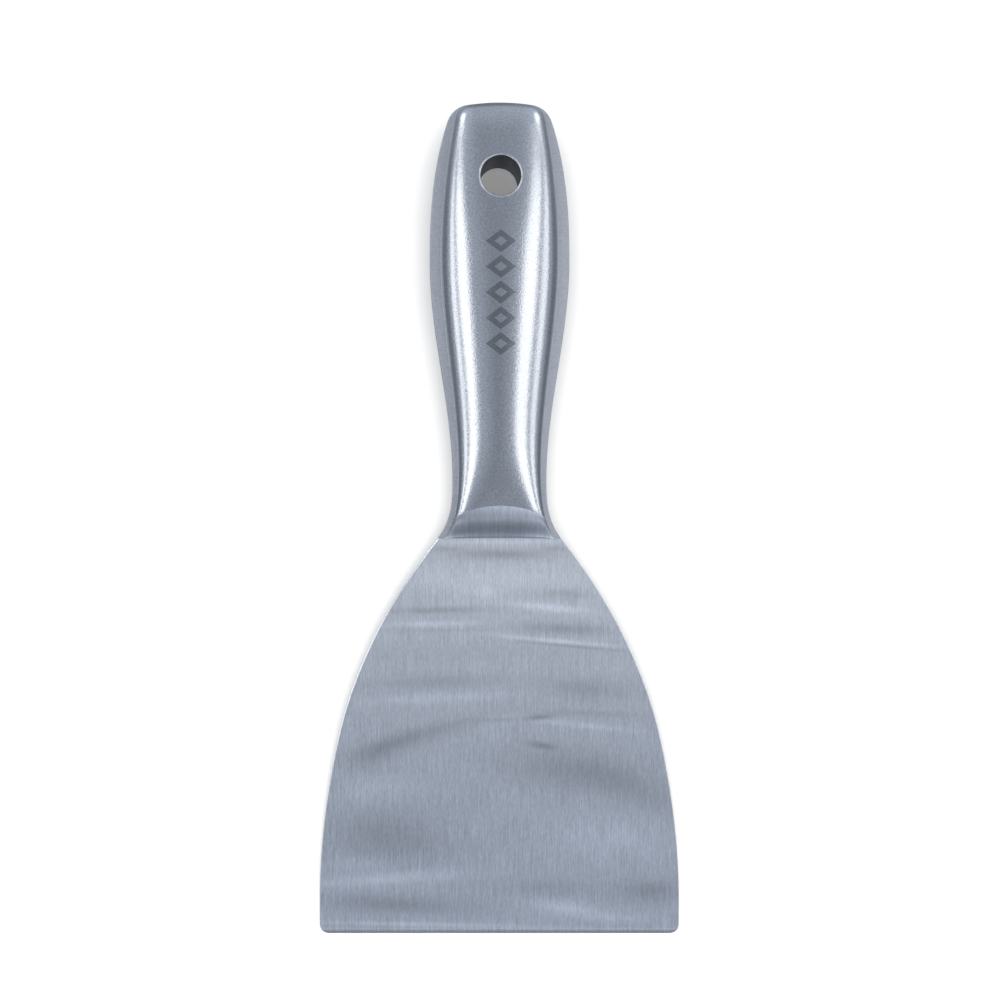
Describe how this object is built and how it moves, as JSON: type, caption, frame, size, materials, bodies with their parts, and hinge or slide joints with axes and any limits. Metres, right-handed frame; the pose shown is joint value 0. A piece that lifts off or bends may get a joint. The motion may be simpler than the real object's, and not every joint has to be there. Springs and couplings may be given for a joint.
{
  "type": "filling knife",
  "caption": "Wide all-steel filling knife: full-tang tapered blade, hollow pressed handle shells and a tube-lined hanging hole.",
  "frame": {"origin": "middle of the bounding box, on the centre line and on the middle plane of the tang", "axes": "+Y along the knife towards the butt of the handle and -Y towards the working edge, +Z out of the front face, +X across the blade, to the right when the front face is seen with the butt up"},
  "size_m": [0.1, 0.231, 0.018],
  "materials": {
    "brushed_blade": "lengthwise brushed",
    "satin_handle": "satin, finely blasted",
    "bright_tube": "bright cut edge, dull bore"
  },
  "bodies": {
    "root": {"blade": "brushed_blade", "front_shell": "satin_handle", "rear_shell": "satin_handle", "hanging_tube": "bright_tube"}
  },
  "joints": []
}
